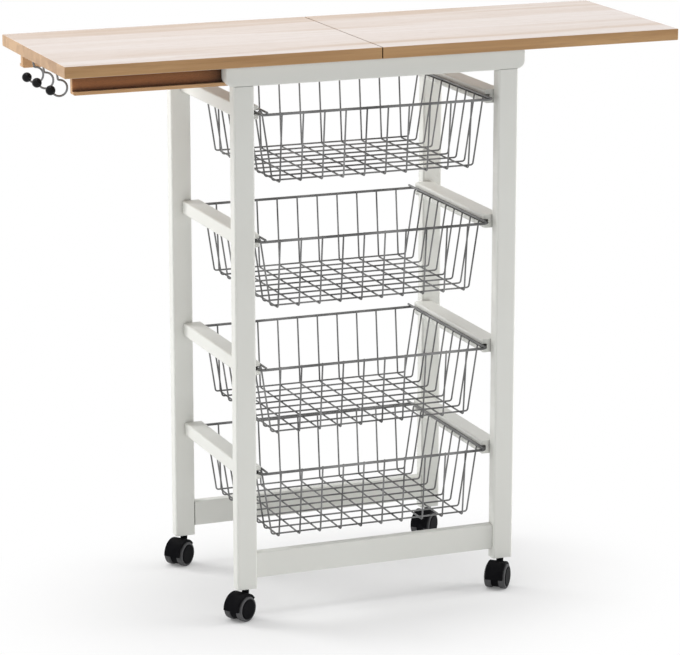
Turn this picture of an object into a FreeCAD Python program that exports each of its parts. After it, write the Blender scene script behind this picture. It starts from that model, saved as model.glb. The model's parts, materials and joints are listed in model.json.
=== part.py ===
import FreeCAD, Part
import math
import os
import re
from FreeCAD import Rotation, Vector

# Kitchen trolley: a white frame on four casters carries four sliding wire baskets
# and a worktop that slides to the left and folds in half.
# Millimetres, +Z up. The origin lies on the floor, midway between the four legs.
# The front of the trolley faces -Y, and the hooks hang at the -X end of the worktop.

doc = FreeCAD.newDocument("kitchen_trolley")
sheet = doc.addObject("Spreadsheet::Sheet", "Sizes")

driving_sizes = {
    # Frame
    "frame_width": 438,
    "frame_depth": 298,
    "leg_length": 741,
    "leg_width": 31,
    "leg_depth": 20,
    "leg_edge": 3,
    "apron_length": 459,
    "apron_height": 28,
    "apron_thickness": 21,
    "apron_corner": 12,
    "apron_edge": 2,
    "stretcher_height": 38,
    "stretcher_thickness": 15,
    "stretcher_lift": 14.5,
    "stretcher_edge": 2,
    # Side rails: reach is how far a rail stands inside the legs' inner faces
    "rail_width": 28,
    "rail_height": 20,
    "rail_reach": 13,
    "rail_drop": 31,
    "rail_pitch_low": 156,
    "second_rail_lift": 1.5,
    "rail_edge": 2.5,
    "groove_depth": 7.5,
    "groove_height": 6,
    # Dowels
    "dowel_radius": 3,
    "dowel_embed": 8,
    "dowel_clearance": 0.05,
    "dowel_end_gap": 0.25,
    "stretcher_dowel_spacing": 20,
    # Worktop: the seam stands this far to the right of the frame's middle when drawn out
    "board_length": 470,
    "board_depth": 313,
    "board_thickness": 17,
    "board_edge": 1,
    "seam_gap": 1,
    "seam_offset": 3.2,
    "slide_clearance": 0.3,
    # Barrel hinges in the seam
    "barrel_radius": 5.5,
    "barrel_length": 20,
    "barrel_recess": 0.5,
    "barrel_spacing": 200,
    "barrel_clearance": 0.05,
    # Runners under the sliding leaf
    "runner_length": 443,
    "runner_inset": 19,
    "runner_height": 28,
    "runner_web": 10,
    "runner_side_gap": 0.5,
    "runner_edge": 1,
    "runner_end_round": 2.5,
    "lip_width": 6,
    "lip_height": 5,
    "screw_radius": 2,
    "screw_head_radius": 3.8,
    "screw_head_height": 3,
    "screw_bite": 11,
    "screw_inset": 45,
    "screw_clearance": 0.05,
    # Hooks
    "hook_wire": 3,
    "hook_radius": 11.3,
    "hook_drop": 23.3,
    "hook_bend": 2.2,
    "hook_shank": 10,
    "hook_lean": 9,
    "hook_open_angle": 73,
    "hook_end_angle": 212,
    "hook_tail": 6.6,
    "hook_inset": 7.5,
    "hook_front_place": -92,
    "hook_middle_place": -25,
    "hook_back_place": 25,
    "hook_clearance": 0.05,
    "ball_radius": 7,
    "ball_bite": 4,
    # Baskets
    "rim_wire": 4,
    "rim_corner": 8,
    "rim_side_play": 2,
    "rim_lift": 0.3,
    "mesh_wire": 2.5,
    "mesh_bend": 4,
    "weld_gap": 0.05,
    "side_wire": 3.2,
    "side_wire_inset": 4,
    "side_wire_end": 4.5,
    "side_wire_round": 0.8,
    "cross_wire_rise": 1.65,
    "basket_setback": 8.5,
    "basket_depth": 101,
    "basket_clearance": 14.5,
    "basket_wall_gap": 2.75,
    "basket_side_lean": 15.3,
    "basket_front_lean": 10.25,
    "long_wire_margin": 9.5,
    "cross_wire_margin": 5.8,
    "top_basket_pull": 10,
    # Casters
    "wheel_radius": 18.5,
    "wheel_width": 10.4,
    "wheel_round": 2,
    "wheel_groove_radius": 15.4,
    "wheel_groove_width": 0.9,
    "wheel_groove_depth": 0.8,
    "wheel_cap_height": 1,
    "wheel_cap_round": 0.8,
    "wheel_bore_depth": 8,
    "wheel_side_gap": 0.3,
    "axle_radius": 2.5,
    "axle_clearance": 0.05,
    "axle_end_gap": 0.4,
    "axle_tip": 0.6,
    "hood_clearance": 1.1,
    "hood_wall": 3.1,
    "hood_width": 27,
    "hood_edge": 1.2,
    "hood_skirt": 0.5,
    "hood_brow": 35,
    "web_thickness": 10.6,
    "web_inset": 1.5,
    "boss_radius": 5.3,
    "boss_height": 2.4,
    "swivel_gap": 0.3,
    "caster_trail": 13,
    "heading_front_left": 32,
    "heading_front_right": 50,
    "heading_back_left": 38,
    "heading_back_right": 43,
    "stem_radius": 3.5,
    "stem_clearance": 0.05,
    "stem_reach": 5.5,
    "stem_length": 34,
    "stem_collar": 1.5,
    "socket_wall": 1.3,
    "socket_clearance": 0.02,
}
long_wire_count = 10
cross_wire_count = 9

for row, (alias, number) in enumerate(driving_sizes.items(), start=1):
    sheet.set(f"A{row}", alias)
    sheet.set(f"B{row}", str(number))
    sheet.setAlias(f"B{row}", alias)
doc.recompute()

pieces = []


# Put the sheet's name before every size named in a formula
def bound(formula):
    return re.sub(r"[a-z]+(?:_[a-z]+)+", r"Sizes.\g<0>", str(formula))


def value(formula):
    return float(sheet.evalExpression(bound(formula)))


def bind(item, **formulas):
    for name, formula in formulas.items():
        item.setExpression(name, bound(formula))


def place(item, x, y, z):
    for axis, formula in zip("xyz", (x, y, z)):
        item.setExpression(f"Placement.Base.{axis}", bound(formula))


def piece(item):
    item.Label = item.Name
    pieces.append(item)
    return item


# Heights and distances that several pieces share, as formulas of the driving sizes
hood_radius = "(wheel_radius + hood_clearance + hood_wall)"
boss_top = f"(wheel_radius + {hood_radius} + boss_height)"
leg_foot = f"({boss_top} + swivel_gap + stem_collar)"
leg_top = f"({leg_foot} + leg_length)"
apron_top = f"({leg_top} + apron_height)"
board_under = f"({apron_top} + slide_clearance)"
leg_inner_x = "(frame_width / 2 - leg_width)"
leg_inner_y = "(frame_depth / 2 - leg_depth)"
leg_mid_x = "(frame_width / 2 - leg_width / 2)"
leg_mid_y = "(frame_depth / 2 - leg_depth / 2)"
rail_inner_x = f"({leg_inner_x} - rail_reach)"
rail_length = f"(2 * {leg_inner_y})"
rail_dowel_x = f"(({rail_inner_x} + rail_width + {leg_inner_x}) / 2)"
stretcher_top = f"({leg_foot} + stretcher_lift + stretcher_height)"
stretcher_mid_y = f"({leg_inner_y} + stretcher_thickness / 2)"
rim_below_rail_top = "(rail_height / 2 + groove_height / 2 - rim_lift - rim_wire / 2)"
basket_below_rim = "(basket_depth + mesh_wire / 2)"
lowest_rail_top = f"({stretcher_top} + basket_clearance + {basket_below_rim} + {rim_below_rail_top})"
third_rail_top = f"({lowest_rail_top} + rail_pitch_low)"
first_rail_top = f"({leg_top} - rail_drop)"
second_rail_top = f"(({first_rail_top} + {third_rail_top}) / 2 + second_rail_lift)"
rail_tops = [first_rail_top, second_rail_top, third_rail_top, lowest_rail_top]
runner_outer_y = "(frame_depth / 2 - apron_thickness - runner_side_gap)"
socket_radius = "(stem_radius + socket_clearance + socket_wall)"
stem_top = f"({leg_foot} + stem_length)"
sides = {"left": -1, "right": 1}
ends = {"front": -1, "back": 1}

axis_turns = {
    "x": Rotation(Vector(0, 1, 0), 90),
    "y": Rotation(Vector(1, 0, 0), -90),
    "z": Rotation(),
}


# Box centred on x and y, standing on the height base
def box(name, x, y, base, length, width, height):
    item = doc.addObject("Part::Box", name)
    bind(item, Length=length, Width=width, Height=height)
    place(item, f"{x} - {length} / 2", f"{y} - {width} / 2", base)
    return item


# Cylinder along a main axis, with its middle at the centre
def cylinder(name, centre, axis, radius, height):
    item = doc.addObject("Part::Cylinder", name)
    bind(item, Radius=radius, Height=height)
    item.Placement.Rotation = axis_turns[axis]
    starts = [f"{c} - {height} / 2" if a == axis else c for a, c in zip("xyz", centre)]
    place(item, *starts)
    return item


def joined(name, items):
    item = doc.addObject("Part::MultiFuse", name)
    item.Shapes = items
    return item


def cut(name, base, tools):
    item = doc.addObject("Part::Cut", name)
    item.Base = base
    item.Tool = tools[0] if len(tools) == 1 else joined(f"{name}_tools", tools)
    return item


# Fillet the edges of base for which chosen gives true
def rounded(name, base, radius, chosen):
    doc.recompute()
    item = doc.addObject("Part::Fillet", name)
    item.Base = base
    edges = enumerate(base.Shape.Edges, start=1)
    item.Edges = [(number, value(radius), value(radius)) for number, edge in edges if chosen(edge)]
    return item


def runs_along(edge, axis):
    span = edge.Vertexes[-1].Point - edge.Vertexes[0].Point
    return span.Length > 0 and abs(getattr(span, axis)) > 0.999 * span.Length


# True when the whole edge lies in the plane across axis at where
def lies_at(edge, axis, where):
    bounds = edge.BoundBox
    low = getattr(bounds, f"{axis.upper()}Min")
    high = getattr(bounds, f"{axis.upper()}Max")
    return abs(low - where) < 0.01 and abs(high - where) < 0.01


# True for a full circle
def is_rim(edge):
    return edge.isClosed() and len(edge.Vertexes) == 1


# Dowels: each spans one joint face, and the two pieces share one hole
dowels = {"rail": [], "stretcher": [], "apron": []}
dowel_holes = {}


def dowel(kind, name, centre, axis):
    pin = cylinder(f"{name}_dowel", centre, axis, "dowel_radius", "2 * dowel_embed")
    dowels[kind].append(pin)
    hole_radius = "(dowel_radius + dowel_clearance)"
    hole_length = "(2 * (dowel_embed + dowel_end_gap))"
    dowel_holes[name] = cylinder(f"{name}_dowel_hole", centre, axis, hole_radius, hole_length)


for end, end_sign in ends.items():
    for side, side_sign in sides.items():
        corner = f"{end}_{side}"
        where = (f"{side_sign} * {leg_mid_x}", f"{end_sign} * {leg_mid_y}", leg_top)
        dowel("apron", f"apron_{corner}", where, "z")
        for level, top in enumerate(rail_tops, start=1):
            height = f"{top} - rail_height / 2"
            where = (f"{side_sign} * {rail_dowel_x}", f"{end_sign} * {leg_inner_y}", height)
            dowel("rail", f"rail_{corner}_{level}", where, "y")
        for step, shift in (("lower", -1), ("upper", 1)):
            height = f"{stretcher_top} - stretcher_height / 2 + {shift} * stretcher_dowel_spacing / 2"
            where = (f"{side_sign} * {leg_inner_x}", f"{end_sign} * {stretcher_mid_y}", height)
            dowel("stretcher", f"stretcher_{corner}_{step}", where, "x")


# Legs, with the caster's bore in the foot
def leg(end, side):
    name = f"leg_{end}_{side}"
    x = f"{sides[side]} * {leg_mid_x}"
    y = f"{ends[end]} * {leg_mid_y}"
    blank = box(f"{name}_blank", x, y, leg_foot, "leg_width", "leg_depth", "leg_length")
    shaped = rounded(f"{name}_shaped", blank, "leg_edge", lambda edge: runs_along(edge, "z"))
    bore_depth = "(stem_length + dowel_end_gap)"
    bore_radius = f"({socket_radius} + socket_clearance)"
    bore = cylinder(f"{name}_bore", (x, y, f"{leg_foot} + {bore_depth} / 2"), "z", bore_radius, bore_depth)
    holes = [hole for key, hole in dowel_holes.items() if f"{end}_{side}" in key]
    piece(cut(name, shaped, [bore] + holes))


# Aprons: the rabbet along the lower inner edge takes the runner's lip
def apron(end):
    name = f"apron_{end}"
    sign = ends[end]
    outer = value("frame_depth / 2") * sign
    y = f"{sign} * (frame_depth / 2 - apron_thickness / 2)"
    blank = box(f"{name}_blank", "0", y, leg_top, "apron_length", "apron_thickness", "apron_height")
    foot = value(leg_top)
    cornered = rounded(
        f"{name}_cornered",
        blank,
        "apron_corner",
        lambda edge: runs_along(edge, "y") and lies_at(edge, "z", foot),
    )
    crest = value(apron_top)
    eased = rounded(
        f"{name}_eased",
        cornered,
        "apron_edge",
        lambda edge: lies_at(edge, "y", outer) and not lies_at(edge, "z", crest),
    )
    rabbet_y = f"{sign} * (frame_depth / 2 - apron_thickness + lip_width / 2)"
    rabbet_height = f"({board_under} - runner_height + lip_height + slide_clearance - {leg_top})"
    rabbet = box(f"{name}_rabbet", "0", rabbet_y, leg_top, "2 * apron_length", "lip_width", rabbet_height)
    holes = [dowel_holes[f"apron_{end}_{side}"] for side in sides]
    piece(cut(name, eased, [rabbet] + holes))


# Lower stretchers, flush with the legs' inner faces
def stretcher(end):
    name = f"stretcher_{end}"
    y = f"{ends[end]} * {stretcher_mid_y}"
    base = f"{leg_foot} + stretcher_lift"
    length = f"(2 * {leg_inner_x})"
    blank = box(f"{name}_blank", "0", y, base, length, "stretcher_thickness", "stretcher_height")
    shaped = rounded(f"{name}_shaped", blank, "stretcher_edge", lambda edge: runs_along(edge, "x"))
    holes = [hole for key, hole in dowel_holes.items() if key.startswith(f"stretcher_{end}")]
    piece(cut(name, shaped, holes))


# Side rails, grooved on the inside for the basket's rim
def rail(side, level, top):
    name = f"rail_{side}_{level}"
    sign = sides[side]
    base = f"{top} - rail_height"
    x = f"{sign} * ({rail_inner_x} + rail_width / 2)"
    blank = box(f"{name}_blank", x, "0", base, "rail_width", rail_length, "rail_height")
    shaped = rounded(f"{name}_shaped", blank, "rail_edge", lambda edge: runs_along(edge, "y"))
    groove_x = f"{sign} * ({rail_inner_x} + groove_depth / 2)"
    groove_base = f"{top} - rail_height / 2 - groove_height / 2"
    through = f"(2 * {rail_length})"
    groove = box(f"{name}_groove", groove_x, "0", groove_base, "groove_depth", through, "groove_height")
    holes = [dowel_holes[f"rail_{end}_{side}_{level}"] for end in ends]
    piece(cut(name, shaped, [groove] + holes))


for end in ends:
    apron(end)
    stretcher(end)
    for side in sides:
        leg(end, side)
for side in sides:
    for level, top in enumerate(rail_tops, start=1):
        rail(side, level, top)
for kind, pins in dowels.items():
    piece(joined(f"{kind}_dowels", pins))


# Worktop: two leaves that meet at the seam
leaf_left_x = "(seam_offset - board_length / 2)"
leaf_right_x = "(seam_offset + board_length / 2)"
hook_places = ["hook_front_place", "hook_middle_place", "hook_back_place"]
hook_entry_x = "(seam_offset - board_length + hook_inset)"
runner_mid_x = "(seam_offset - board_length + runner_inset + runner_length / 2)"
runner_base = f"({board_under} - runner_height)"
runner_web_y = f"({runner_outer_y} - runner_web / 2)"
screw_offsets = ["-(runner_length / 2 - screw_inset)", "0", "(runner_length / 2 - screw_inset)"]


# One leaf, shortened at the seam by half the gap. The sign points away from the seam
def leaf_board(name, x, sign):
    length = "(board_length - seam_gap / 2)"
    middle = f"{x} + {sign} * seam_gap / 4"
    blank = box(f"{name}_blank", middle, "0", board_under, length, "board_depth", "board_thickness")
    return rounded(f"{name}_shaped", blank, "board_edge", lambda edge: True)


# The two hinge barrels of one leaf, and the bores that hold them
def barrels(side):
    sign = sides[side]
    pins = []
    bores = []
    for end, end_sign in ends.items():
        y = f"{end_sign} * barrel_spacing / 2"
        z = f"{board_under} + board_thickness / 2"
        face = "seam_gap / 2 + barrel_recess"
        x = f"seam_offset + {sign} * ({face} + barrel_length / 2)"
        pins.append(cylinder(f"barrel_{side}_{end}", (x, y, z), "x", "barrel_radius", "barrel_length"))
        depth = "(barrel_length + barrel_recess + seam_gap + barrel_clearance)"
        bore_x = f"seam_offset + {sign} * {depth} / 2"
        radius = "(barrel_radius + barrel_clearance)"
        bores.append(cylinder(f"barrel_bore_{side}_{end}", (bore_x, y, z), "x", radius, depth))
    piece(joined(f"hinge_barrels_{side}", pins))
    return bores


def hook_hole(number, y):
    tool = doc.addObject("Part::Cylinder", f"hook_hole_{number}")
    bind(tool, Radius="hook_wire / 2 + hook_clearance", Height="2 * (hook_shank + hook_clearance)")
    tool.Placement.Rotation = Rotation(Vector(0, -1, 0), value("hook_lean"))
    reach = "(hook_shank + hook_clearance)"
    place(
        tool,
        f"{hook_entry_x} + {reach} * sin(hook_lean)",
        y,
        f"{board_under} - {reach} * cos(hook_lean)",
    )
    return tool


# Runner with its outward lip, its three screws and their pilot holes in the leaf
def runner(end):
    name = f"runner_{end}"
    sign = ends[end]
    x = runner_mid_x
    web_y = f"{sign} * {runner_web_y}"
    web = box(f"{name}_web", x, web_y, runner_base, "runner_length", "runner_web", "runner_height")
    lip_y = f"{sign} * ({runner_outer_y} + lip_width / 2 - runner_web / 2)"
    lip_span = "(lip_width + runner_web)"
    lip = box(f"{name}_lip", x, lip_y, runner_base, "runner_length", lip_span, "lip_height")
    profile = joined(f"{name}_profile", [web, lip])
    profile.Refine = True
    foot = value(runner_base)
    ended = rounded(
        f"{name}_ended",
        profile,
        "runner_end_round",
        lambda edge: runs_along(edge, "y") and lies_at(edge, "z", foot),
    )
    eased = rounded(
        f"{name}_eased",
        ended,
        "runner_edge",
        lambda edge: runs_along(edge, "x") and lies_at(edge, "z", foot),
    )
    screws = []
    holes = []
    pilots = []
    for number, offset in enumerate(screw_offsets, start=1):
        screw_x = f"{runner_mid_x} + {offset}"
        label = f"{end}_{number}"
        head_middle = (screw_x, web_y, f"{runner_base} + screw_head_height / 2")
        shank_length = "(runner_height - screw_head_height + screw_bite)"
        shank_middle = (screw_x, web_y, f"{runner_base} + screw_head_height + {shank_length} / 2")
        head = cylinder(f"screw_head_{label}", head_middle, "z", "screw_head_radius", "screw_head_height")
        shank = cylinder(f"screw_shank_{label}", shank_middle, "z", "screw_radius", shank_length)
        screws += [head, shank]
        head_hole_radius = "(screw_head_radius + screw_clearance)"
        hole_radius = "(screw_radius + screw_clearance)"
        head_hole = cylinder(f"screw_seat_{label}", head_middle, "z", head_hole_radius, "screw_head_height")
        way_length = f"({shank_length} + 2 * screw_clearance)"
        through = cylinder(f"screw_way_{label}", shank_middle, "z", hole_radius, way_length)
        holes += [head_hole, through]
        pilots.append(through)
    piece(cut(name, eased, holes))
    return screws, pilots


runner_screws = []
pilot_holes = []
for end in ends:
    screws, pilots = runner(end)
    runner_screws += screws
    pilot_holes += pilots
piece(joined("runner_screws", runner_screws))
hook_holes = [hook_hole(number, y) for number, y in enumerate(hook_places, start=1)]
sliding_board = leaf_board("leaf_sliding", leaf_left_x, -1)
piece(cut("leaf_sliding", sliding_board, barrels("left") + pilot_holes + hook_holes))
folding_board = leaf_board("leaf_folding", leaf_right_x, 1)
piece(cut("leaf_folding", folding_board, barrels("right")))


# Straight runs between the points, joined by tangent arcs
def bent_path(points, radius):
    edges = []
    start = points[0]
    for before, corner, after in zip(points, points[1:], points[2:]):
        back = (before - corner).normalize()
        ahead = (after - corner).normalize()
        half = back.getAngle(ahead) / 2
        trim = radius / math.tan(half)
        inward = (back + ahead).normalize()
        middle = corner + inward * (radius / math.sin(half) - radius)
        edges.append(Part.LineSegment(start, corner + back * trim).toShape())
        edges.append(Part.Arc(corner + back * trim, middle, corner + ahead * trim).toShape())
        start = corner + ahead * trim
    edges.append(Part.LineSegment(start, points[-1]).toShape())
    return edges


# Round wire swept along a chain of edges
def wire_solid(edges, diameter):
    path = Part.Wire(edges)
    first = edges[0]
    start = first.FirstParameter
    section = Part.Circle(first.valueAt(start), first.tangentAt(start), diameter / 2)
    return path.makePipeShell([Part.Wire(section.toShape())], True, False)


def wire_piece(name, solids):
    item = doc.addObject("Part::Feature", name)
    item.Shape = solids[0] if len(solids) == 1 else Part.makeCompound(solids)
    return piece(item)


# Hooks: a leaning shank, a round loop and a straight tail into the ball
# One hook and its ball, with the shank's entry into the board at the origin
def hook_solids():
    wire = value("hook_wire")
    radius = value("hook_radius")
    centre = Vector(0, 0, -value("hook_drop"))

    def on_loop(degrees):
        angle = math.radians(degrees)
        return centre + Vector(math.cos(angle), 0, math.sin(angle)) * radius

    opening = value("hook_open_angle")
    ending = value("hook_end_angle") - 360
    loop_start = on_loop(opening)
    loop_end = on_loop(ending)
    slope = math.radians(opening)
    knee = Vector(0, 0, loop_start.z + loop_start.x / math.tan(slope))
    lead = bent_path([Vector(0, 0, value("hook_shank")), knee, loop_start], value("hook_bend"))
    loop = Part.Arc(loop_start, on_loop((opening + ending) / 2), loop_end).toShape()
    turn = math.radians(ending)
    tail_way = Vector(math.sin(turn), 0, -math.cos(turn))
    ball_centre = loop_end + tail_way * value("hook_tail")
    tail_end = ball_centre - tail_way * value("ball_radius - ball_bite")
    tail = Part.LineSegment(loop_end, tail_end).toShape()
    hook = wire_solid(lead + [loop, tail], wire)
    gap = value("hook_clearance")
    hole = Part.makeCylinder(wire / 2 + gap, value("2 * ball_radius"), tail_end + tail_way * gap, -tail_way)
    ball = Part.makeSphere(value("ball_radius"), ball_centre, tail_way).cut(hole)
    return hook, ball


# Copy of a hook piece, leaning and hung at its own place along the board's end
def hung(shape, y):
    copy = shape.copy()
    copy.rotate(Vector(), Vector(0, -1, 0), value("hook_lean"))
    copy.translate(Vector(value(hook_entry_x), value(y), value(board_under)))
    return copy


hook_shape, ball_shape = hook_solids()
wire_piece("hooks", [hung(hook_shape, y) for y in hook_places])
wire_piece("hook_balls", [hung(ball_shape, y) for y in hook_places])

# Baskets, made about the middle of the rim and then put in their rails
rim_half_x = f"({rail_inner_x} + groove_depth - rim_side_play - rim_wire / 2)"
rim_half_y = "(frame_depth / 2 - basket_setback)"
wall_top_x = f"({rail_inner_x} - basket_wall_gap - mesh_wire / 2)"
floor_half_x = f"({wall_top_x} - basket_side_lean)"
front_slope = "(basket_front_lean / basket_depth)"
rim_contact = f"((rim_wire / 2 + mesh_wire / 2 + weld_gap) * sqrt(1 + {front_slope} ^ 2))"
wall_top_y = f"({rim_half_y} - {rim_contact})"
floor_half_y = f"({wall_top_y} - basket_front_lean)"


# Evenly spaced places from -half_span to half_span
def spread(count, half_span):
    return [half_span * (2 * index / (count - 1) - 1) for index in range(count)]


# Closed loop, with a straight wire laid over its front and back at each side
def rim_solids():
    x = value(rim_half_x)
    y = value(rim_half_y)
    start = Vector(0, -y, 0)
    corners = [Vector(x, -y, 0), Vector(x, y, 0), Vector(-x, y, 0), Vector(-x, -y, 0)]
    loop = wire_solid(bent_path([start] + corners + [start], value("rim_corner")), value("rim_wire"))
    across = value(f"{rail_inner_x} - side_wire_inset")
    reach = value(f"{rim_half_y} + side_wire_end")
    height = value("(rim_wire + side_wire) / 2 + weld_gap")
    solids = [loop]
    for sign in sides.values():
        tip = Vector(sign * across, -reach, height)
        rod = Part.makeCylinder(value("side_wire / 2"), 2 * reach, tip, Vector(0, 1, 0))
        ends_of_rod = [edge for edge in rod.Edges if is_rim(edge)]
        solids.append(rod.makeFillet(value("side_wire_round"), ends_of_rod))
    return solids


# Wire along the depth: down the back wall, under the floor and up the front wall
def long_wire_solid(x):
    top = value("mesh_wire / 2")
    floor = -value("basket_depth")
    crest = value(f"{wall_top_y} + {front_slope} * mesh_wire / 2")
    half = value(floor_half_y)
    points = [Vector(x, crest, top), Vector(x, half, floor)]
    points += [Vector(x, -half, floor), Vector(x, -crest, top)]
    return wire_solid(bent_path(points, value("mesh_bend")), value("mesh_wire"))


# Wire across the width: out to the rim at both ends, down the side walls and over the floor
def cross_wire_solid(y):
    floor = -value("basket_depth - mesh_wire - weld_gap")
    tip = value(f"{rim_half_x} - rim_wire / 2 - weld_gap")
    top = value(wall_top_x)
    half = value(floor_half_x)
    rise = value("cross_wire_rise")
    points = [Vector(-tip, y, rise), Vector(-top, y, rise), Vector(-half, y, floor)]
    points += [Vector(half, y, floor), Vector(top, y, rise), Vector(tip, y, rise)]
    return wire_solid(bent_path(points, value("mesh_bend")), value("mesh_wire"))


def basket(level, top):
    name = f"basket_{level}"
    long_places = spread(long_wire_count, value(f"{floor_half_x} - long_wire_margin"))
    cross_places = spread(cross_wire_count, value(f"{floor_half_y} - cross_wire_margin"))
    parts = [
        wire_piece(f"{name}_rim", rim_solids()),
        wire_piece(f"{name}_long_wires", [long_wire_solid(x) for x in long_places]),
        wire_piece(f"{name}_cross_wires", [cross_wire_solid(y) for y in cross_places]),
    ]
    pull = "-top_basket_pull" if level == 1 else "0"
    for part in parts:
        place(part, "0", pull, f"{top} - {rim_below_rail_top}")


for level, top in enumerate(rail_tops, start=1):
    basket(level, top)

# Casters, made about the swivel axis on the floor with the axle along Y and the trail towards -X
axle_x = "(0 - caster_trail)"
web_half = "(web_thickness / 2)"
wheel_inner = f"({web_half} + wheel_side_gap)"
axle_length = f"(2 * ({wheel_inner} + wheel_bore_depth - axle_end_gap - axle_tip))"
axle_bore = "(axle_radius + axle_clearance)"
wheel_hands = {"near": -1, "far": 1}


# Turn a finished caster piece to its heading and put it under its leg
def set_caster(item, end, side):
    item.Placement.Rotation = Rotation(Vector(0, 0, 1), 0)
    item.setExpression("Placement.Rotation.Angle", bound(f"heading_{end}_{side}"))
    place(item, f"{sides[side]} * {leg_mid_x}", f"{ends[end]} * {leg_mid_y}", "0")
    piece(item)


# Hood over both wheels, with the web between them and the boss for the stem
def hood(end, side):
    name = f"hood_{end}_{side}"
    axle_centre = (axle_x, "0", "wheel_radius")
    drum = cylinder(f"{name}_drum", axle_centre, "y", hood_radius, "hood_width")
    eased = rounded(f"{name}_eased", drum, "hood_edge", is_rim)
    boss_middle = ("0", "0", f"({boss_top} + wheel_radius) / 2")
    boss = cylinder(f"{name}_boss", boss_middle, "z", "boss_radius", f"({boss_top} - wheel_radius)")
    shell = joined(f"{name}_shell", [eased, boss])
    wide = f"(4 * {hood_radius})"
    below = box(f"{name}_below", axle_x, "0", f"wheel_radius - hood_skirt - {wide}", wide, wide, wide)
    brow = doc.addObject("Part::Box", f"{name}_brow")
    bind(brow, Length=wide, Width=wide, Height=wide)
    brow.Placement.Rotation = Rotation(Vector(0, -1, 0), value("hood_brow"))
    place(
        brow,
        f"{axle_x} + {wide} * sin(hood_brow)",
        f"-{wide} / 2",
        f"wheel_radius - {wide} * cos(hood_brow)",
    )
    wells = []
    well_radius = "(wheel_radius + hood_clearance)"
    for hand, sign in wheel_hands.items():
        middle = (axle_x, f"{sign} * ({web_half} + hood_width / 2)", "wheel_radius")
        wells.append(cylinder(f"{name}_well_{hand}", middle, "y", well_radius, "hood_width"))
    cover = cut(f"{name}_cover", shell, [below, brow] + wells)
    web = cylinder(f"{name}_web", axle_centre, "y", "(wheel_radius - web_inset)", "web_thickness")
    solid = joined(f"{name}_solid", [cover, web])
    axle_hole = cylinder(f"{name}_axle_hole", axle_centre, "y", axle_bore, "2 * web_thickness")
    stem_bore = "(stem_radius + stem_clearance)"
    stem_hole_length = "(2 * (stem_reach + stem_clearance))"
    stem_hole = cylinder(f"{name}_stem_hole", ("0", "0", boss_top), "z", stem_bore, stem_hole_length)
    set_caster(cut(name, solid, [axle_hole, stem_hole]), end, side)


# Axle with a tapered tip at each end
def axle(end, side):
    name = f"axle_{end}_{side}"
    parts = [cylinder(f"{name}_pin", (axle_x, "0", "wheel_radius"), "y", "axle_radius", axle_length)]
    for hand, sign in wheel_hands.items():
        tip = doc.addObject("Part::Cone", f"{name}_tip_{hand}")
        bind(tip, Radius1="axle_radius", Radius2="axle_radius - axle_tip", Height="axle_tip")
        tip.Placement.Rotation = Rotation(Vector(1, 0, 0), -90 * sign)
        place(tip, axle_x, f"{sign} * {axle_length} / 2", "wheel_radius")
        parts.append(tip)
    set_caster(joined(name, parts), end, side)


# Wheel with a rounded tread, a groove round its cap and a blind bore for the axle
def wheel(end, side, hand):
    name = f"wheel_{end}_{side}_{hand}"
    sign = wheel_hands[hand]
    middle = (axle_x, f"{sign} * ({wheel_inner} + wheel_width / 2)", "wheel_radius")
    outer_face = f"({wheel_inner} + wheel_width)"
    drum = cylinder(f"{name}_drum", middle, "y", "wheel_radius", "wheel_width")
    tread = rounded(f"{name}_tread", drum, "wheel_round", is_rim)
    cap_middle = (axle_x, f"{sign} * ({outer_face} + wheel_cap_height / 2)", "wheel_radius")
    cap_radius = "(wheel_groove_radius - wheel_groove_width)"
    cap = cylinder(f"{name}_cap", cap_middle, "y", cap_radius, "wheel_cap_height")
    cap_face = value(f"{sign} * ({outer_face} + wheel_cap_height)")
    domed = rounded(
        f"{name}_dome",
        cap,
        "wheel_cap_round",
        lambda edge: is_rim(edge) and lies_at(edge, "y", cap_face),
    )
    body = joined(f"{name}_body", [tread, domed])
    ring_middle = (axle_x, f"{sign} * {outer_face}", "wheel_radius")
    ring_depth = "(2 * wheel_groove_depth)"
    ring_outside = cylinder(f"{name}_ring_out", ring_middle, "y", "wheel_groove_radius", ring_depth)
    ring_inside = cylinder(f"{name}_ring_in", ring_middle, "y", cap_radius, f"(2 * {ring_depth})")
    ring = cut(f"{name}_ring", ring_outside, [ring_inside])
    bore_middle = (axle_x, f"{sign} * {wheel_inner}", "wheel_radius")
    bore = cylinder(f"{name}_bore", bore_middle, "y", axle_bore, "(2 * wheel_bore_depth)")
    set_caster(cut(name, body, [ring, bore]), end, side)


# Stem with its collar under the leg's foot
def stem(end, side):
    x = f"{sides[side]} * {leg_mid_x}"
    y = f"{ends[end]} * {leg_mid_y}"
    bottom = f"({boss_top} - stem_reach)"
    middle = f"({stem_top} + {bottom}) / 2"
    shaft = cylinder(f"stem_{end}_{side}", (x, y, middle), "z", "stem_radius", f"({stem_top} - {bottom})")
    collar_middle = (x, y, f"{leg_foot} - stem_collar / 2")
    collar = cylinder(f"collar_{end}_{side}", collar_middle, "z", "boss_radius", "stem_collar")
    return [shaft, collar]


# Sleeve in the leg that holds the stem
def socket(end, side):
    name = f"socket_{end}_{side}"
    x = f"{sides[side]} * {leg_mid_x}"
    y = f"{ends[end]} * {leg_mid_y}"
    middle = (x, y, f"{leg_foot} + stem_length / 2")
    sleeve = cylinder(f"{name}_sleeve", middle, "z", socket_radius, "stem_length")
    bore = cylinder(f"{name}_bore", middle, "z", "(stem_radius + socket_clearance)", "(2 * stem_length)")
    return cut(name, sleeve, [bore])


stems = []
sockets = []
for end in ends:
    for side in sides:
        hood(end, side)
        axle(end, side)
        for hand in wheel_hands:
            wheel(end, side, hand)
        stems += stem(end, side)
        sockets.append(socket(end, side))
piece(joined("caster_stems", stems))
piece(joined("caster_sockets", sockets))

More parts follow.
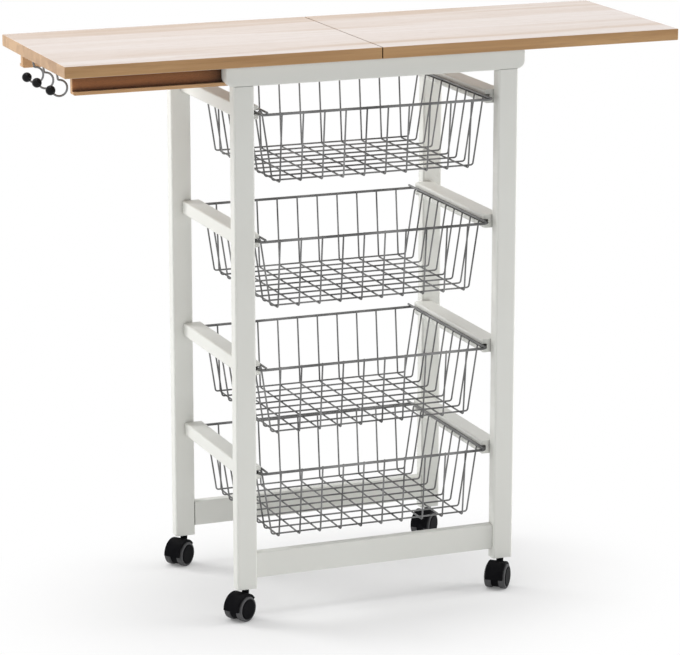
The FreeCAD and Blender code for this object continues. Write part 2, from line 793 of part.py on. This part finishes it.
doc.recompute()
for item in doc.Objects:
    faults = [state for state in item.State if state in ("Invalid", "Error")]
    if faults:
        raise RuntimeError(f"{item.Name} has a fault: {faults}")
for item in pieces:
    if item.Shape.isNull() or not item.Shape.isValid():
        raise RuntimeError(f"{item.Name} has no valid shape")

os.makedirs("parts", exist_ok=True)
for item in pieces:
    item.Shape.exportStep(f"parts/{item.Label}.step")
print(f"{len(pieces)} pieces exported")
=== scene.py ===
import bpy
import json
import math
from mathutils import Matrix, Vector


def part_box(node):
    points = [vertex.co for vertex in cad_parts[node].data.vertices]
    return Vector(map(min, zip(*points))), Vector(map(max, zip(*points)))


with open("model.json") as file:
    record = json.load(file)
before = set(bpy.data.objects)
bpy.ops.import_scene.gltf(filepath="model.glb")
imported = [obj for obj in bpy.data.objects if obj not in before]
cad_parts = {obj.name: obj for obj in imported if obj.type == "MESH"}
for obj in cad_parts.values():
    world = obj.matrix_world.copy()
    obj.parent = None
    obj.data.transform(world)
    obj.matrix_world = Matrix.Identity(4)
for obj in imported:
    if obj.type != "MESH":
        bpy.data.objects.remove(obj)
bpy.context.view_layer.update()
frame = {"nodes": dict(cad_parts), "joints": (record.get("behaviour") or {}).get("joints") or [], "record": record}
nodes = frame["nodes"]
print("frame loaded:", len(nodes), "nodes")

numberSocket = "NodeSocketFloat"
colorSocket = "NodeSocketColor"


# node tree helpers
def addNode(tree, kind, inputs=None, **settings):
    node = tree.nodes.new(kind)
    for key, setting in settings.items():
        setattr(node, key, setting)
    for key, given in (inputs or {}).items():
        if isinstance(given, bpy.types.NodeSocket):
            tree.links.new(given, node.inputs[key])
        else:
            node.inputs[key].default_value = given
    return node


def mathNode(tree, operation, first, second=0.0, clamp=False):
    inputs = {0: first, 1: second}
    return addNode(tree, "ShaderNodeMath", inputs, operation=operation, use_clamp=clamp).outputs[0]


def multiply(tree, first, second, clamp=False):
    return mathNode(tree, "MULTIPLY", first, second, clamp)


def vectorMath(tree, operation, first, second, output="Vector"):
    return addNode(tree, "ShaderNodeVectorMath", {0: first, 1: second}, operation=operation).outputs[output]


def mixColor(tree, factor, first, second):
    inputs = {0: factor, 6: first, 7: second}  # the colour sockets of a Mix node
    return addNode(tree, "ShaderNodeMix", inputs, data_type="RGBA").outputs[2]


def remap(tree, given, low, high, toLow=0.0, toHigh=1.0, **settings):
    inputs = {0: given, 1: low, 2: high, 3: toLow, 4: toHigh}
    return addNode(tree, "ShaderNodeMapRange", inputs, **settings).outputs[0]


def objectCoords(tree):
    return addNode(tree, "ShaderNodeTexCoord").outputs["Object"]


def stretched(tree, coords, scale):
    return addNode(tree, "ShaderNodeMapping", {"Vector": coords, "Scale": scale}).outputs[0]


def component(tree, vector, axis):
    return addNode(tree, "ShaderNodeSeparateXYZ", {0: vector}).outputs[axis]


def noise(tree, coords, scale=1.0, detail=3.0, roughness=0.5, distortion=0.0):
    inputs = {
        "Vector": coords,
        "Scale": scale,
        "Detail": detail,
        "Roughness": roughness,
        "Distortion": distortion,
    }
    return addNode(tree, "ShaderNodeTexNoise", inputs).outputs[0]


def newGroup(name, inputs, outputs):
    tree = bpy.data.node_groups.new(name, "ShaderNodeTree")
    for label, kind, default in inputs:
        tree.interface.new_socket(label, in_out="INPUT", socket_type=kind).default_value = default
    for label, kind in outputs:
        tree.interface.new_socket(label, in_out="OUTPUT", socket_type=kind)
    return tree, tree.nodes.new("NodeGroupInput").outputs, tree.nodes.new("NodeGroupOutput").inputs


def useGroup(tree, group, inputs):
    node = tree.nodes.new("ShaderNodeGroup")
    node.node_tree = group
    for key, given in inputs.items():
        node.inputs[key].default_value = given
    return node.outputs


# fine speckle and broad cloudy patches, for paint, metal and moulded plastic
fineGrainLook = {"patchDetail": 4.0, "patchRange": (0.3, 0.7)}


def buildFineGrain(look):
    tree, given, result = newGroup(
        "fineGrain",
        [("Speckle Scale", numberSocket, 900.0), ("Patch Scale", numberSocket, 9.0)],
        [("Height", numberSocket), ("Patch", numberSocket)],
    )
    coords = objectCoords(tree)
    speckle = noise(tree, coords, given["Speckle Scale"])
    patch = noise(tree, coords, given["Patch Scale"], look["patchDetail"])
    tree.links.new(speckle, result["Height"])
    tree.links.new(remap(tree, patch, *look["patchRange"]), result["Patch"])
    return tree


# worn edges: where a rounded normal leans away from the face, broken up by noise
edgeWearLook = {"samples": 4, "leanRange": (0.99, 0.8), "spotDetail": 5.0, "spotRange": (0.42, 0.62)}


def buildEdgeWear(look):
    tree, given, result = newGroup(
        "edgeWear",
        [("Width", numberSocket, 0.0015), ("Break Scale", numberSocket, 60.0)],
        [("Mask", numberSocket)],
    )
    rounded = addNode(tree, "ShaderNodeBevel", {"Radius": given["Width"]}, samples=look["samples"]).outputs[0]
    face = addNode(tree, "ShaderNodeNewGeometry").outputs["True Normal"]
    lean = vectorMath(tree, "DOT_PRODUCT", rounded, face, "Value")
    edge = remap(tree, lean, *look["leanRange"])
    cloud = noise(tree, objectCoords(tree), given["Break Scale"], look["spotDetail"])
    spots = remap(tree, cloud, *look["spotRange"])
    tree.links.new(multiply(tree, edge, spots, True), result["Mask"])
    return tree


# thin dust on faces that look up
dustLook = {"upRange": (0.3, 0.95), "clumpDetail": 6.0, "clumpRange": (0.35, 0.75)}


def buildDust(look):
    tree, given, result = newGroup(
        "dust",
        [("Amount", numberSocket, 0.2), ("Clump Scale", numberSocket, 35.0)],
        [("Mask", numberSocket)],
    )
    upward = component(tree, addNode(tree, "ShaderNodeNewGeometry").outputs["Normal"], "Z")
    cloud = noise(tree, objectCoords(tree), given["Clump Scale"], look["clumpDetail"])
    clumps = remap(tree, cloud, *look["clumpRange"])
    settled = multiply(tree, remap(tree, upward, *look["upRange"]), clumps)
    tree.links.new(multiply(tree, settled, given["Amount"], True), result["Mask"])
    return tree


# wood: staves along X, each with its own tone, broad streaks, long figure and short pores
woodGrainLook = {
    "staveStep": 3.7,  # how far the figure jumps from stave to stave
    "figureScale": (1.6, 26.0, 26.0),
    "figureNoise": {"detail": 6.0, "roughness": 0.6, "distortion": 0.6},
    "figureRange": (0.32, 0.7),
    "poreScale": (35.0, 900.0, 900.0),
    "poreNoise": {"detail": 2.0},
    "poreRange": (0.58, 0.7),
    "poreStrength": 0.3,
    "poreDepth": 0.5,
    "streakScale": (1.1, 13.0, 13.0),
    "streakNoise": {"detail": 3.0, "roughness": 0.45, "distortion": 0.9},
    "streakRange": (0.52, 0.68),
    "middleTone": 0.5,
}


def buildWoodGrain(look):
    tree, given, result = newGroup(
        "woodGrain",
        [
            ("Pale", colorSocket, (0.62, 0.45, 0.30, 1.0)),
            ("Deep", colorSocket, (0.42, 0.27, 0.15, 1.0)),
            ("Pore", colorSocket, (0.24, 0.14, 0.07, 1.0)),
            ("Streak", colorSocket, (0.55, 0.38, 0.25, 1.0)),
            ("Streak Amount", numberSocket, 0.5),
            ("Stave Width", numberSocket, 0.075),
            ("Stave Contrast", numberSocket, 0.4),
            ("Figure Contrast", numberSocket, 1.0),
            ("Shift", numberSocket, 0.0),
        ],
        [("Color", colorSocket), ("Height", numberSocket), ("Pores", numberSocket)],
    )
    offset = addNode(tree, "ShaderNodeCombineXYZ", {"X": given["Shift"], "Y": given["Shift"]}).outputs[0]
    moved = vectorMath(tree, "ADD", objectCoords(tree), offset)
    across = component(tree, moved, "Y")
    # every stave has its own tint and its own stretch of figure
    stave = mathNode(tree, "FLOOR", mathNode(tree, "DIVIDE", across, given["Stave Width"]))
    tint = addNode(tree, "ShaderNodeTexWhiteNoise", {"W": stave}, noise_dimensions="1D").outputs[0]
    jump = multiply(tree, stave, look["staveStep"])
    staveShift = addNode(tree, "ShaderNodeCombineXYZ", {"X": jump, "Z": tint}).outputs[0]
    own = vectorMath(tree, "ADD", moved, staveShift)
    figure = noise(tree, stretched(tree, own, look["figureScale"]), **look["figureNoise"])
    poreCloud = noise(tree, stretched(tree, own, look["poreScale"]), **look["poreNoise"])
    pores = remap(tree, poreCloud, *look["poreRange"])
    centred = mathNode(tree, "SUBTRACT", remap(tree, figure, *look["figureRange"]), look["middleTone"])
    lines = multiply(tree, centred, given["Figure Contrast"])
    staveTone = multiply(tree, mathNode(tree, "SUBTRACT", tint, look["middleTone"]), given["Stave Contrast"])
    tone = mathNode(tree, "ADD", mathNode(tree, "ADD", lines, staveTone), look["middleTone"], True)
    body = mixColor(tree, tone, given["Pale"], given["Deep"])
    streakCloud = noise(tree, stretched(tree, moved, look["streakScale"]), **look["streakNoise"])
    streaks = multiply(tree, remap(tree, streakCloud, *look["streakRange"]), given["Streak Amount"])
    body = mixColor(tree, streaks, body, given["Streak"])
    porous = mixColor(tree, multiply(tree, pores, look["poreStrength"]), body, given["Pore"])
    height = mathNode(tree, "SUBTRACT", figure, multiply(tree, pores, look["poreDepth"]))
    tree.links.new(porous, result["Color"])
    tree.links.new(height, result["Height"])
    tree.links.new(pores, result["Pores"])
    return tree


# soft shade where faces stand close together, such as joints and the underside of the worktop
creviceLook = {"samples": 6}


def buildCrevice(look):
    tree, given, result = newGroup(
        "creviceShade",
        [("Reach", numberSocket, 0.02), ("Open", numberSocket, 0.75), ("Closed", numberSocket, 0.1)],
        [("Mask", numberSocket)],
    )
    inputs = {"Distance": given["Reach"]}
    clear = addNode(tree, "ShaderNodeAmbientOcclusion", inputs, samples=look["samples"]).outputs["AO"]
    tree.links.new(remap(tree, clear, given["Open"], given["Closed"]), result["Mask"])
    return tree


fineGrain = buildFineGrain(fineGrainLook)
edgeWear = buildEdgeWear(edgeWearLook)
dust = buildDust(dustLook)
woodGrain = buildWoodGrain(woodGrainLook)
creviceShade = buildCrevice(creviceLook)
print("effect groups built")


def newMaterial(name):
    material = bpy.data.materials.new(name)
    material.use_nodes = True
    tree = material.node_tree
    shader = next(node for node in tree.nodes if node.type == "BSDF_PRINCIPLED")
    return material, tree, shader


def bumpInto(tree, shader, height, look):
    inputs = {"Height": height, "Strength": look["bump"], "Distance": look["bumpDistance"]}
    tree.links.new(addNode(tree, "ShaderNodeBump", inputs).outputs[0], shader.inputs["Normal"])


# a coated surface: patchy colour, worn edges, dust, painted shade in crevices, speckled bump
def buildCoated(name, look):
    material, tree, shader = newMaterial(name)
    grain = useGroup(tree, fineGrain, {"Speckle Scale": look["speckle"], "Patch Scale": look["patch"]})
    wear = useGroup(tree, edgeWear, {"Width": look["wearWidth"], "Break Scale": look["wearScale"]})["Mask"]
    settled = useGroup(tree, dust, {"Amount": look["dust"], "Clump Scale": look["dustScale"]})["Mask"]
    closeShade = useGroup(tree, creviceShade, {"Reach": look["creviceReach"]})["Mask"]
    color = mixColor(tree, grain["Patch"], look["color"], look["second"])
    color = mixColor(tree, multiply(tree, wear, look["wear"]), color, look["worn"])
    color = mixColor(tree, settled, color, look["dustColor"])
    # painted shade: the colour darkens toward the crevice colour where faces stand close together
    color = mixColor(tree, multiply(tree, closeShade, look["creviceShade"]), color, look["creviceShadeColor"])
    tree.links.new(color, shader.inputs["Base Color"])
    rough = remap(tree, grain["Patch"], 0.0, 1.0, *look["roughness"])
    rough = mathNode(tree, "ADD", rough, multiply(tree, settled, look["dustRoughness"]), True)
    tree.links.new(rough, shader.inputs["Roughness"])
    shader.inputs["Metallic"].default_value = look["metallic"]
    shader.inputs["Specular IOR Level"].default_value = look["specular"]
    bumpInto(tree, shader, grain["Height"], look)
    return material


lacquerLook = {
    "color": (0.77, 0.775, 0.735, 1.0),
    "second": (0.745, 0.748, 0.705, 1.0),
    "worn": (0.86, 0.86, 0.83, 1.0),
    "roughness": (0.36, 0.46),
    "metallic": 0.0,
    "specular": 0.4,
    "speckle": 420.0,
    "patch": 7.0,
    "wear": 0.6,
    "wearWidth": 0.002,
    "wearScale": 45.0,
    "dust": 0.12,
    "dustScale": 40.0,
    "dustColor": (0.68, 0.67, 0.64, 1.0),
    "dustRoughness": 0.5,
    "bump": 0.06,
    "bumpDistance": 0.0004,
    "creviceReach": 0.008,
    "creviceShade": 0.85,
    "creviceShadeColor": (0.14, 0.135, 0.12, 1.0),
}
wireLook = dict(
    lacquerLook,
    color=(0.10, 0.10, 0.10, 1.0),
    second=(0.29, 0.29, 0.291, 1.0),
    worn=(0.42, 0.42, 0.41, 1.0),
    dustColor=(0.30, 0.295, 0.29, 1.0),
    roughness=(0.26, 0.36),
    metallic=0.4,
    specular=0.2,
    speckle=1500.0,
    patch=18.0,
    wear=0.2,
    wearWidth=0.0006,
    wearScale=120.0,
    dust=0.15,
    bump=0.05,
    creviceReach=0.003,
    creviceShade=0.4,
    creviceShadeColor=(0.06, 0.06, 0.06, 1.0),
)
chromeLook = dict(
    wireLook,
    color=(0.20, 0.20, 0.20, 1.0),
    second=(0.26, 0.26, 0.26, 1.0),
    worn=(0.40, 0.40, 0.40, 1.0),
    dustColor=(0.30, 0.29, 0.28, 1.0),
    roughness=(0.12, 0.22),
    metallic=1.0,
    specular=0.5,
    speckle=1200.0,
    patch=40.0,
    wear=0.1,
    wearWidth=0.0005,
    wearScale=150.0,
    dust=0.1,
    bump=0.02,
    creviceShadeColor=(0.05, 0.05, 0.05, 1.0),
)
zincLook = dict(
    wireLook,
    color=(0.45, 0.45, 0.46, 1.0),
    second=(0.56, 0.56, 0.57, 1.0),
    worn=(0.66, 0.66, 0.66, 1.0),
    dustColor=(0.40, 0.39, 0.38, 1.0),
    roughness=(0.30, 0.45),
    metallic=1.0,
    specular=0.5,
    speckle=1600.0,
    patch=60.0,
    wearScale=150.0,
    dust=0.05,
    creviceShade=0.5,
    creviceShadeColor=(0.12, 0.12, 0.12, 1.0),
)
ballLook = dict(
    wireLook,
    color=(0.008, 0.008, 0.009, 1.0),
    second=(0.014, 0.014, 0.015, 1.0),
    worn=(0.05, 0.05, 0.05, 1.0),
    dustColor=(0.12, 0.12, 0.12, 1.0),
    roughness=(0.22, 0.32),
    metallic=0.0,
    specular=0.12,
    speckle=900.0,
    patch=60.0,
    wear=0.1,
    dust=0.05,
    bump=0.02,
    creviceReach=0.002,
    creviceShade=0.5,
    creviceShadeColor=(0.004, 0.004, 0.004, 1.0),
)
hoodLook = dict(
    ballLook,
    color=(0.005, 0.005, 0.006, 1.0),
    second=(0.009, 0.009, 0.010, 1.0),
    worn=(0.03, 0.03, 0.03, 1.0),
    dustColor=(0.07, 0.068, 0.065, 1.0),
    roughness=(0.36, 0.50),
    specular=0.02,
    speckle=1400.0,
    patch=50.0,
    wear=0.5,
    wearWidth=0.0008,
    wearScale=160.0,
    dust=0.10,
    bump=0.12,
    creviceReach=0.004,
    creviceShade=0.7,
    creviceShadeColor=(0.002, 0.002, 0.002, 1.0),
)
treadLook = dict(
    hoodLook,
    color=(0.10, 0.10, 0.104, 1.0),
    second=(0.08, 0.08, 0.082, 1.0),
    worn=(0.16, 0.16, 0.16, 1.0),
    roughness=(0.45, 0.6),
    specular=0.1,
)
lacquer = buildCoated("whiteLacquer", lacquerLook)
wire = buildCoated("basketWire", wireLook)
chrome = buildCoated("hookChrome", chromeLook)
zinc = buildCoated("zincSteel", zincLook)
ballBlack = buildCoated("ballBlack", ballLook)
hoodBlack = buildCoated("hoodBlack", hoodLook)
treadGrey = buildCoated("treadGrey", treadLook)


# oiled wood: staves on the flat faces, a plainer and deeper band round the edges, painted shade in crevices
def buildWood(name, look):
    material, tree, shader = newMaterial(name)
    flatInputs = {
        "Stave Width": look["staveWidth"],
        "Shift": look["shift"],
        "Pore": look["pore"],
        "Streak": look["streak"],
        "Pale": look["pale"],
        "Deep": look["deep"],
        "Stave Contrast": look["staveContrast"],
        "Figure Contrast": look["figureContrast"],
        "Streak Amount": look["streakAmount"],
    }
    bandInputs = dict(flatInputs)
    bandInputs["Pale"] = look["bandPale"]
    bandInputs["Deep"] = look["bandDeep"]
    bandInputs["Stave Contrast"] = 0.0
    bandInputs["Figure Contrast"] = look["bandContrast"]
    bandInputs["Streak Amount"] = 0.0
    creviceInputs = {
        "Reach": look["creviceReach"],
        "Open": look["creviceOpen"],
        "Closed": look["creviceClosed"],
    }
    flat = useGroup(tree, woodGrain, flatInputs)
    band = useGroup(tree, woodGrain, bandInputs)
    wear = useGroup(tree, edgeWear, {"Width": look["wearWidth"], "Break Scale": look["wearScale"]})["Mask"]
    settled = useGroup(tree, dust, {"Amount": look["dust"], "Clump Scale": look["dustScale"]})["Mask"]
    closeShade = useGroup(tree, creviceShade, creviceInputs)["Mask"]
    facing = addNode(tree, "ShaderNodeTexCoord").outputs["Normal"]
    level = mathNode(tree, "ABSOLUTE", component(tree, facing, "Z"))
    isFlat = remap(tree, level, *look["flatRange"])
    color = mixColor(tree, isFlat, band["Color"], flat["Color"])
    color = mixColor(tree, multiply(tree, wear, look["wear"]), color, look["worn"])
    color = mixColor(tree, settled, color, look["dustColor"])
    # painted shade: the colour darkens toward the crevice colour where faces stand close together
    color = mixColor(tree, multiply(tree, closeShade, look["creviceShade"]), color, look["creviceShadeColor"])
    tree.links.new(color, shader.inputs["Base Color"])
    dull = multiply(tree, flat["Pores"], look["poreRoughness"])
    tree.links.new(mathNode(tree, "ADD", look["roughness"], dull, True), shader.inputs["Roughness"])
    shader.inputs["Specular IOR Level"].default_value = look["specular"]
    shader.inputs["Coat Weight"].default_value = look["coat"]
    shader.inputs["Coat Roughness"].default_value = look["coatRoughness"]
    bumpInto(tree, shader, flat["Height"], look)
    return material


# on the worktop the pale pinkish flat faces and the deeper edge band are partly the wood's own tones, partly
# painted light: sheen painted on the top, shade on the edges
worktopLook = {
    "pale": (0.695, 0.615, 0.575, 1.0),
    "deep": (0.60, 0.485, 0.41, 1.0),
    "streak": (0.48, 0.32, 0.20, 1.0),
    "streakAmount": 0.8,
    "bandPale": (0.54, 0.325, 0.15, 1.0),
    "bandDeep": (0.37, 0.195, 0.075, 1.0),
    "bandContrast": 1.5,
    "flatRange": (0.55, 0.8),
    "pore": (0.30, 0.19, 0.11, 1.0),
    "poreRoughness": 0.12,
    "staveWidth": 0.082,
    "staveContrast": 0.5,
    "figureContrast": 0.9,
    "shift": 0.118,
    "worn": (0.72, 0.58, 0.44, 1.0),
    "wear": 0.35,
    "wearWidth": 0.0012,
    "wearScale": 70.0,
    "dust": 0.06,
    "dustScale": 30.0,
    "dustColor": (0.6, 0.56, 0.52, 1.0),
    "roughness": 0.36,
    "specular": 0.35,
    "coat": 0.25,
    "coatRoughness": 0.18,
    "bump": 0.08,
    "bumpDistance": 0.0004,
    "creviceReach": 0.012,
    "creviceOpen": 0.75,
    "creviceClosed": 0.1,
    "creviceShade": 0.35,
    "creviceShadeColor": (0.20, 0.10, 0.045, 1.0),
}
runnerLook = dict(
    worktopLook,
    bandPale=(0.62, 0.38, 0.20, 1.0),
    bandDeep=(0.52, 0.30, 0.14, 1.0),
    pale=(0.62, 0.40, 0.22, 1.0),
    deep=(0.52, 0.31, 0.15, 1.0),
    shift=0.41,
    specular=0.2,
    coat=0.0,
)
# painted shade: deeper browns and a near-black crevice colour with a long reach stand in for the shadow under the
# worktop
shadedWebLook = dict(
    runnerLook,
    bandPale=(0.64, 0.27, 0.105, 1.0),
    bandDeep=(0.40, 0.155, 0.06, 1.0),
    creviceReach=0.12,
    creviceOpen=0.86,
    creviceClosed=0.45,
    creviceShade=0.97,
    creviceShadeColor=(0.012, 0.005, 0.002, 1.0),
    lipHeight=0.0052,
    leastFacing=0.9,
)
# painted shade in the seam: a near-black crevice colour over a short reach
seamShadeLook = dict(
    worktopLook,
    specular=0.05,
    coat=0.0,
    creviceReach=0.008,
    creviceOpen=0.95,
    creviceClosed=0.55,
    creviceShade=0.98,
    creviceShadeColor=(0.02, 0.01, 0.006, 1.0),
    leastFacing=0.3,
)
dowelLook = dict(worktopLook, shift=0.73, staveContrast=0.1, roughness=0.55, coat=0.0)
worktopWood = buildWood("worktopWood", worktopLook)
runnerWood = buildWood("runnerWood", runnerLook)
shadedWebWood = buildWood("runnerWebShade", shadedWebLook)
seamShadeWood = buildWood("seamShadeWood", seamShadeLook)
dowelWood = buildWood("dowelBeech", dowelLook)
print("materials built")

slotMaterials = {
    "white_lacquer": lacquer,
    "dowel_beech": dowelWood,
    "worktop_wood": worktopWood,
    "runner_wood": runnerWood,
    "basket_wire": wire,
    "hook_chrome": chrome,
    "ball_black": ballBlack,
    "caster_black": hoodBlack,
    "wheel_plastic": hoodBlack,
    "zinc_steel": zinc,
}
for part in frame["record"]["subparts"]:
    node = nodes[part["node"]]
    node.data.materials.clear()
    node.data.materials.append(slotMaterials[part["material_slot"]])

# the outer ring of every wheel is its grey tread, the disc inside stays black
wheelLook = {"discRadius": 0.0150}
for joint in frame["joints"]:
    if not joint["child"].startswith("wheel_"):
        continue
    mesh = nodes[joint["child"]].data
    mesh.materials.append(treadGrey)
    centre = Vector(joint["pos_m"])
    axis = Vector(joint["axis"])
    for face in mesh.polygons:
        arm = face.center - centre
        radial = arm - axis * arm.dot(axis)
        face.material_index = int(radial.length > wheelLook["discRadius"])

# the outer face of each runner, above its lip, gets painted shade: a deeper brown that darkens toward the apron,
# for the shadow under the worktop
for name, outward in (("runner_front", -1.0), ("runner_back", 1.0)):
    mesh = nodes[name].data
    mesh.materials.append(shadedWebWood)
    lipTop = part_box(name)[0][2] + shadedWebLook["lipHeight"]
    for face in mesh.polygons:
        faceOut = face.normal.y * outward > shadedWebLook["leastFacing"]
        face.material_index = int(faceOut and face.center.z > lipTop)

# painted shade on the leaves' edges that meet at the seam: they darken while they are close together
for name, outward in (("leaf_sliding", 1.0), ("leaf_folding", -1.0)):
    mesh = nodes[name].data
    mesh.materials.append(seamShadeWood)
    for face in mesh.polygons:
        face.material_index = int(face.normal.x * outward > seamShadeLook["leastFacing"])
print("materials given to", len(nodes), "nodes")


# one where a ray shows the surroundings, zero where it only gathers light
def seenRays(tree):
    rays = addNode(tree, "ShaderNodeLightPath").outputs
    direct = mathNode(tree, "MAXIMUM", rays["Is Camera Ray"], rays["Is Glossy Ray"])
    return mathNode(tree, "MAXIMUM", direct, rays["Is Transmission Ray"])


# floor, white far away; near the trolley its glow fades out over an off-centre ellipse and round the contacts, a
# painted shade that lets the matte floor with its real shadows show through
floorLook = {
    "size": 60.0,
    "color": (0.86, 0.86, 0.862, 1.0),
    "glow": (1.0, 1.0, 1.0, 1.0),
    "glowStrength": 1.0,
    "middle": (-0.05, -0.075, 0.0),
    "stretch": (1.0, 1.25, 1.0),
    "near": 0.16,
    "far": 0.57,
    "lift": 0.28,
    "contactReach": 0.045,
    "contactGlow": 0.25,
}


def buildFloorMaterial(look):
    material = bpy.data.materials.new("studioFloor")
    material.use_nodes = True
    tree = material.node_tree
    tree.nodes.clear()
    place = stretched(tree, objectCoords(tree), look["stretch"])
    reach = vectorMath(tree, "DISTANCE", place, look["middle"], "Value")
    # painted shade: less glow inside the ellipse and near the contacts
    fade = remap(tree, reach, look["near"], look["far"], look["lift"], 1.0, interpolation_type="SMOOTHSTEP")
    closeShade = useGroup(tree, creviceShade, {"Reach": look["contactReach"]})["Mask"]
    kept = remap(tree, closeShade, 0.0, 1.0, 1.0, look["contactGlow"])
    share = multiply(tree, multiply(tree, fade, kept), seenRays(tree))
    matte = addNode(tree, "ShaderNodeBsdfDiffuse", {"Color": look["color"]}).outputs[0]
    glowInputs = {"Color": look["glow"], "Strength": look["glowStrength"]}
    glow = addNode(tree, "ShaderNodeEmission", glowInputs).outputs[0]
    blend = addNode(tree, "ShaderNodeMixShader", {0: share, 1: matte, 2: glow}).outputs[0]
    addNode(tree, "ShaderNodeOutputMaterial", {"Surface": blend})
    return material


bpy.ops.mesh.primitive_plane_add(size=floorLook["size"], location=(0.0, 0.0, 0.0))
floor = bpy.context.object
floor.name = "floor"
floor.data.materials.append(buildFloorMaterial(floorLook))
print("floor laid")

# the surroundings are white to the eye and light the trolley only softly
worldLook = {"color": (1.0, 1.0, 1.0, 1.0), "gathered": 0.22, "seen": 1.0}
world = bpy.data.worlds.new("studio")
bpy.context.scene.world = world
world.use_nodes = True
sky = world.node_tree
backdrop = next(node for node in sky.nodes if node.type == "BACKGROUND")
backdrop.inputs["Color"].default_value = worldLook["color"]
ambient = remap(sky, seenRays(sky), 0.0, 1.0, worldLook["gathered"], worldLook["seen"])
sky.links.new(ambient, backdrop.inputs["Strength"])

# soft studio lamps; only the top one shows as a highlight in glossy faces
lightLook = {
    "leftKey": {"location": (-2.6, -0.35, 0.9), "size": 0.4, "energy": 9.0, "shine": False},
    "backLeft": {"location": (-2.2, 2.2, 1.7), "size": 1.6, "energy": 74.0, "shine": False},
    "right": {"location": (3.0, -0.6, 1.0), "size": 2.0, "energy": 72.0, "shine": False},
    "top": {"location": (-0.2, 0.2, 3.4), "size": 2.4, "energy": 54.0, "shine": True},
    "front": {"location": (-1.4, -3.6, 0.25), "size": 0.9, "energy": 17.5, "shine": False},
    "frontNear": {"location": (-0.3, -1.3, 0.14), "size": 0.3, "energy": 1.2, "shine": False},
}
lampTarget = Vector((0.0, 0.0, 0.45))
for name, look in lightLook.items():
    lamp = bpy.data.lights.new(name, "AREA")
    lamp.shape = "DISK"
    lamp.size = look["size"]
    lamp.energy = look["energy"]
    holder = bpy.data.objects.new(name, lamp)
    holder.location = look["location"]
    holder.visible_glossy = look["shine"]
    holder.rotation_euler = (lampTarget - holder.location).to_track_quat("-Z", "Y").to_euler()
    bpy.context.scene.collection.objects.link(holder)
print("lights set")

cameraLook = {
    "location": (-1.7229, -4.36635, 1.55752),
    "azimuth": 21.531,
    "elevation": 14.017,
    "lens": 171.27,
    "sensor": 36.0,
}
eye = bpy.data.cameras.new("camera")
eye.sensor_width = cameraLook["sensor"]
eye.lens = cameraLook["lens"]
camera = bpy.data.objects.new("camera", eye)
camera.location = cameraLook["location"]
tilt = math.radians(90.0 - cameraLook["elevation"])
camera.rotation_euler = (tilt, 0.0, -math.radians(cameraLook["azimuth"]))
bpy.context.scene.collection.objects.link(camera)
bpy.context.scene.camera = camera
bpy.context.scene.view_settings.view_transform = "Standard"
print("camera set")
